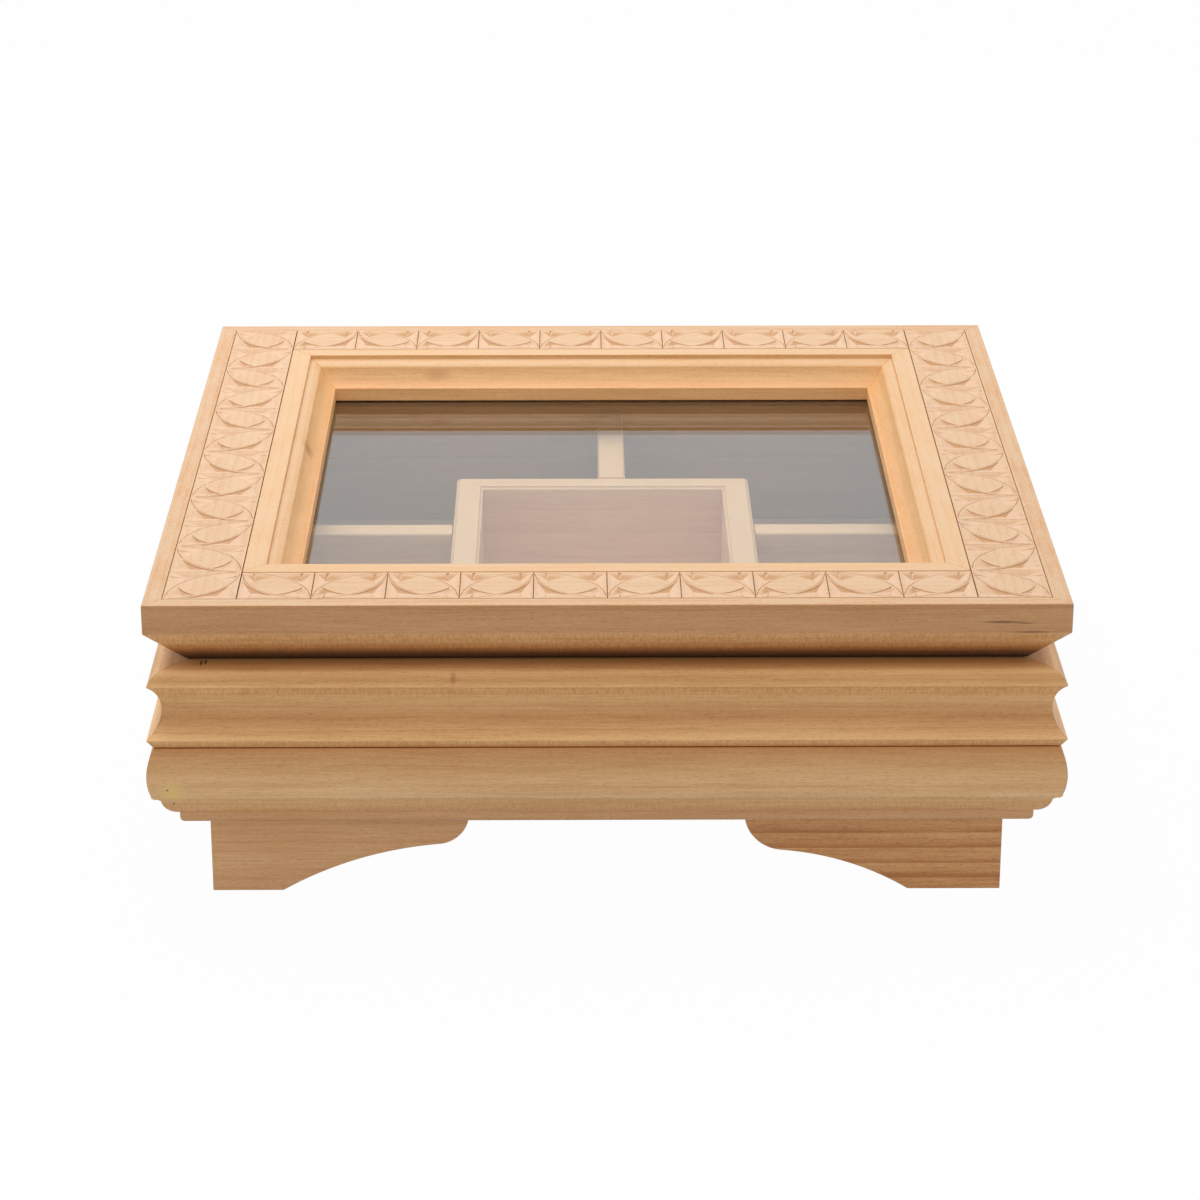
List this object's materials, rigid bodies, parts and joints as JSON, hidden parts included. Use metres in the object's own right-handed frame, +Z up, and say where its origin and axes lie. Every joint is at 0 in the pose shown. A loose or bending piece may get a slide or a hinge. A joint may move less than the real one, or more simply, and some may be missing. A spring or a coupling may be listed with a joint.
{
  "type": "lidded dried fruit dish",
  "caption": "Square wooden box on bracket feet for dried fruit and nuts, with a framed glass lid on hinges and a tray frame and dividers inside.",
  "frame": {"origin": "on the ground, under the middle of the box", "axes": "+Z up, -Y to the front, +X to the right as seen from the front"},
  "size_m": [0.3016, 0.3016, 0.11],
  "materials": {
    "lid_wood": "planed and waxed beech",
    "carved_wood": "chip-carved beech",
    "wall_wood": "moulded and waxed beech",
    "partition_wood": "planed beech",
    "foot_wood": "sawn and sanded beech",
    "clear_glass": "float glass with ground edges",
    "hinge_brass": "satin"
  },
  "bodies": {
    "box": {"upper_moulding_front": "wall_wood", "upper_moulding_right": "wall_wood", "upper_moulding_back": "wall_wood", "upper_moulding_left": "wall_wood", "lower_moulding_front": "wall_wood", "lower_moulding_right": "wall_wood", "lower_moulding_back": "wall_wood", "lower_moulding_left": "wall_wood", "bottom_board": "wall_wood", "tray_wall_front": "partition_wood", "tray_wall_right": "partition_wood", "tray_wall_back": "partition_wood", "tray_wall_left": "partition_wood", "divider_front": "partition_wood", "divider_right": "partition_wood", "divider_back": "partition_wood", "divider_left": "partition_wood", "foot_front_at_left": "foot_wood", "foot_front_at_right": "foot_wood", "foot_right_at_front": "foot_wood", "foot_right_at_back": "foot_wood", "foot_back_at_right": "foot_wood", "foot_back_at_left": "foot_wood", "foot_left_at_back": "foot_wood", "foot_left_at_front": "foot_wood", "glue_block_front_left": "foot_wood", "glue_block_right_front": "foot_wood", "glue_block_back_right": "foot_wood", "glue_block_left_back": "foot_wood", "hinge_left_box_leaf": "hinge_brass", "hinge_left_pin": "hinge_brass", "hinge_left_box_screw_1": "hinge_brass", "hinge_left_box_screw_2": "hinge_brass", "hinge_right_box_leaf": "hinge_brass", "hinge_right_pin": "hinge_brass", "hinge_right_box_screw_1": "hinge_brass", "hinge_right_box_screw_2": "hinge_brass"},
    "lid": {"lid_rail_front": "lid_wood", "lid_rail_right": "lid_wood", "lid_rail_back": "lid_wood", "lid_rail_left": "lid_wood", "carved_band_front": "carved_wood", "carved_band_right": "carved_wood", "carved_band_back": "carved_wood", "carved_band_left": "carved_wood", "sight_moulding_front": "lid_wood", "sight_moulding_right": "lid_wood", "sight_moulding_back": "lid_wood", "sight_moulding_left": "lid_wood", "glass_pane": "clear_glass", "glazing_bead_front": "lid_wood", "glazing_bead_right": "lid_wood", "glazing_bead_back": "lid_wood", "glazing_bead_left": "lid_wood", "hinge_left_lid_leaf": "hinge_brass", "hinge_left_lid_screw_1": "hinge_brass", "hinge_left_lid_screw_2": "hinge_brass", "hinge_right_lid_leaf": "hinge_brass", "hinge_right_lid_screw_1": "hinge_brass", "hinge_right_lid_screw_2": "hinge_brass"}
  },
  "joints": [
    {"name": "lid_hinge", "type": "hinge", "parent": "box", "child": "lid", "pos_m": [0, 0.1435, 0.08635], "axis": [-1, 0, 0], "range_deg": [0, 110]}
  ]
}
